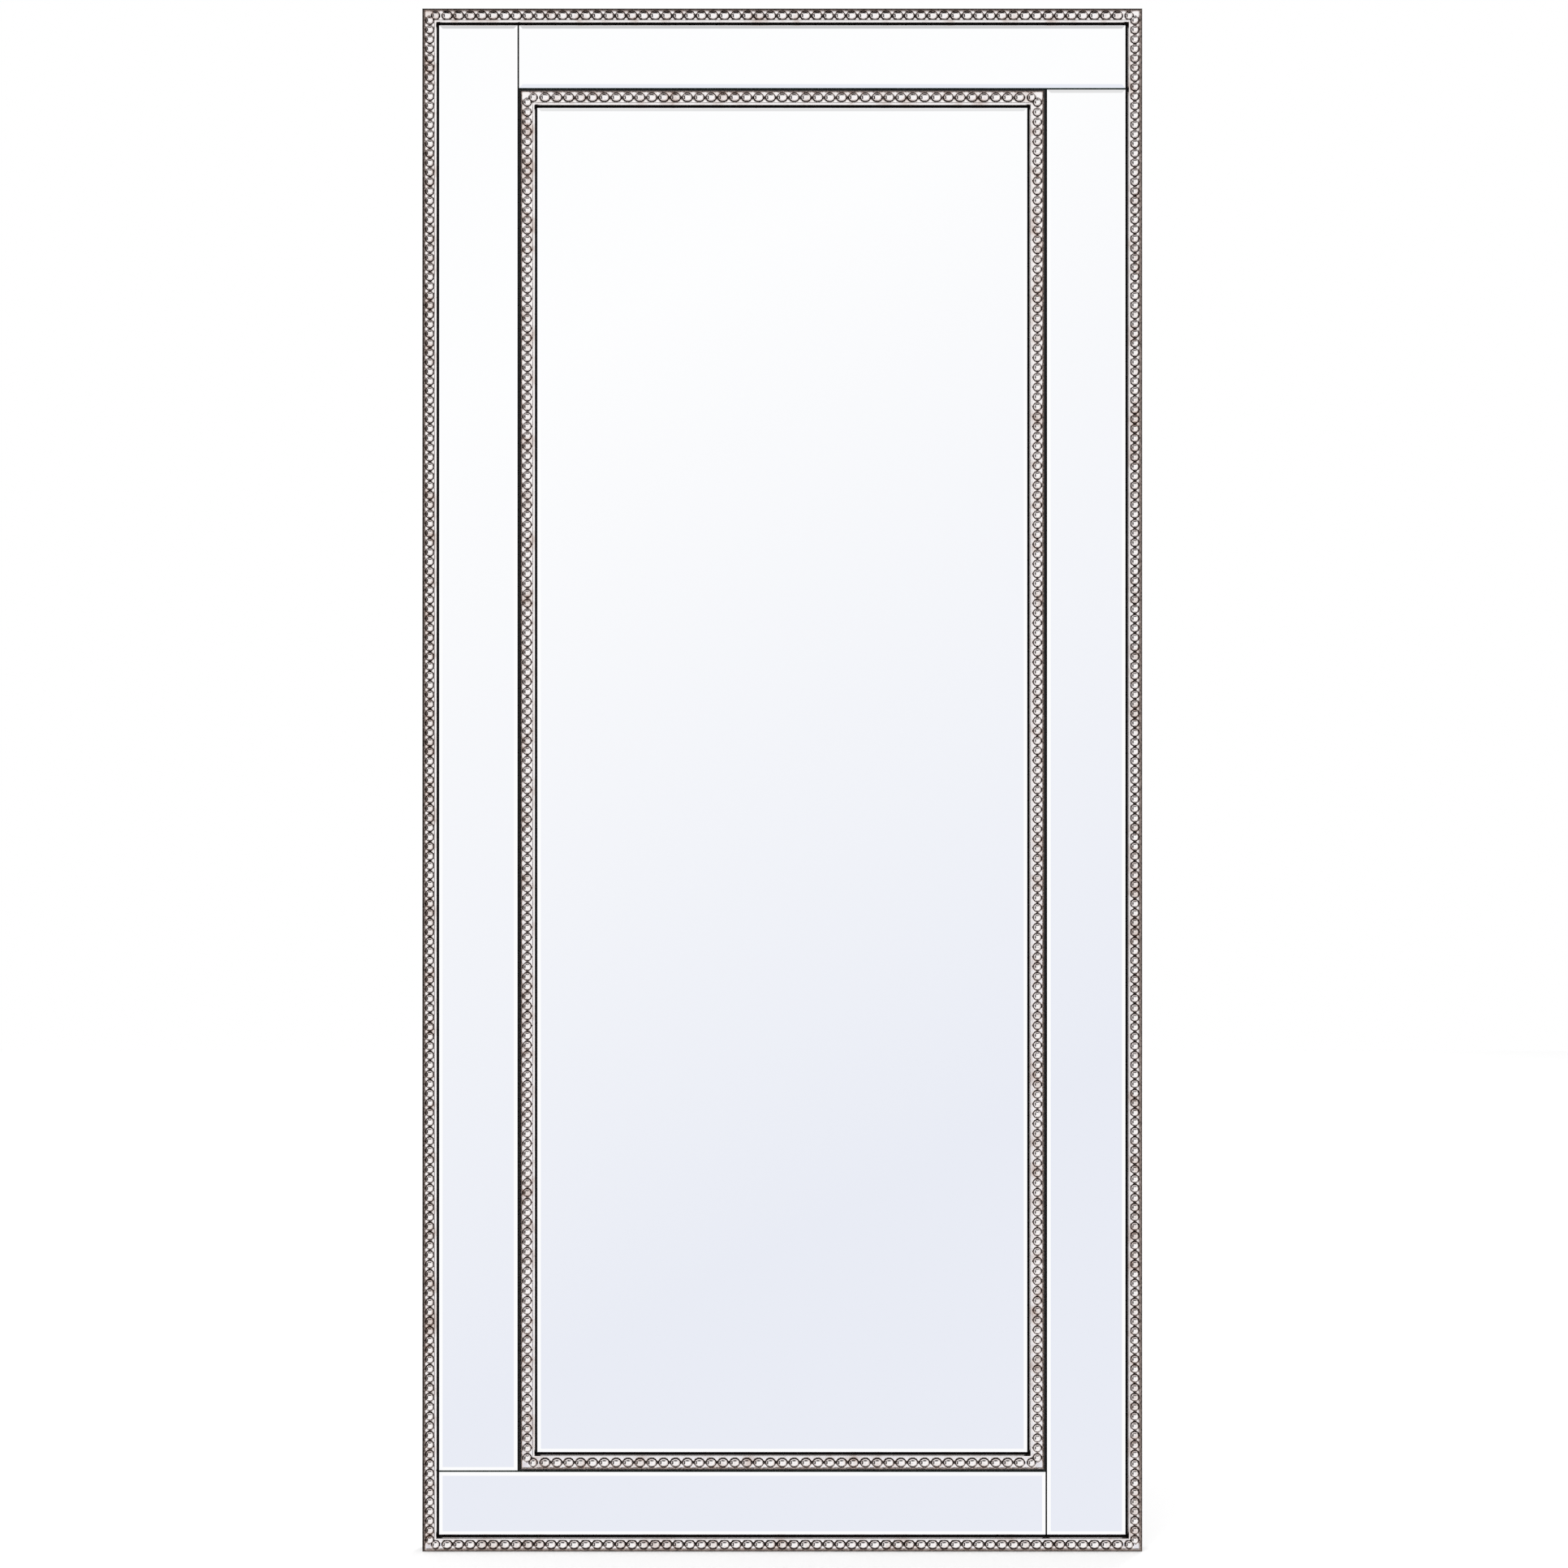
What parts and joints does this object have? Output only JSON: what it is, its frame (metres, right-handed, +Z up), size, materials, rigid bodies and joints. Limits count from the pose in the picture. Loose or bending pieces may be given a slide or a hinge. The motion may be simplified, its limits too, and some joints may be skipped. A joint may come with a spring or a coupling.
{
  "type": "wall mirror",
  "caption": "Tall wall mirror: bevelled centre glass and a bevelled border laid as a pinwheel, framed by an outer and an inner pearl-bead moulding, hung from D-rings.",
  "frame": {"origin": "centre of the mirror's outline, on the plane of the wall that the bumpers rest on", "axes": "+Z up along the height, +Y into the wall, so the glass faces -Y; +X to the viewer's right"},
  "size_m": [0.711, 0.0278, 1.524],
  "materials": {
    "silver_leaf_moulding": "champagne silver leaf with a dark wash",
    "silver_leaf_beading": "champagne silver leaf, rubbed bright on the beads",
    "mirror_glass": "silvered, polished bevel",
    "board": "black painted fibreboard",
    "foam_tape": "closed-cell foam",
    "steel_pin": "bright drawn wire",
    "plated_steel": "zinc plated",
    "bumper_rubber": "matt"
  },
  "bodies": {
    "mirror": {"outer_moulding_top": "silver_leaf_moulding", "inner_moulding_top": "silver_leaf_moulding", "outer_beading_top": "silver_leaf_beading", "inner_beading_top": "silver_leaf_beading", "border_glass_top": "mirror_glass", "border_tape_top": "foam_tape", "outer_moulding_right": "silver_leaf_moulding", "inner_moulding_right": "silver_leaf_moulding", "outer_beading_right": "silver_leaf_beading", "inner_beading_right": "silver_leaf_beading", "border_glass_right": "mirror_glass", "border_tape_right": "foam_tape", "outer_moulding_bottom": "silver_leaf_moulding", "inner_moulding_bottom": "silver_leaf_moulding", "outer_beading_bottom": "silver_leaf_beading", "inner_beading_bottom": "silver_leaf_beading", "border_glass_bottom": "mirror_glass", "border_tape_bottom": "foam_tape", "outer_moulding_left": "silver_leaf_moulding", "inner_moulding_left": "silver_leaf_moulding", "outer_beading_left": "silver_leaf_beading", "inner_beading_left": "silver_leaf_beading", "border_glass_left": "mirror_glass", "border_tape_left": "foam_tape", "centre_glass": "mirror_glass", "centre_tape": "foam_tape", "backing_board": "board", "outer_v_nails": "steel_pin", "inner_v_nails": "steel_pin", "side_brads": "steel_pin", "back_brads": "steel_pin", "hanger_strap_left": "plated_steel", "hanger_strap_right": "plated_steel", "hanger_screws": "plated_steel", "bumper_upper_left": "bumper_rubber", "bumper_upper_right": "bumper_rubber", "bumper_lower_left": "bumper_rubber", "bumper_lower_right": "bumper_rubber"},
    "ring_left": {"hanger_ring_left": "plated_steel"},
    "ring_right": {"hanger_ring_right": "plated_steel"}
  },
  "joints": [
    {"name": "ring_left_swing", "type": "hinge", "parent": "mirror", "child": "ring_left", "pos_m": [-0.28, -0.0035, 0.512], "axis": [1, 0, 0], "range_deg": [0, 180]},
    {"name": "ring_right_swing", "type": "hinge", "parent": "mirror", "child": "ring_right", "pos_m": [0.28, -0.0035, 0.512], "axis": [1, 0, 0], "range_deg": [0, 180]}
  ]
}
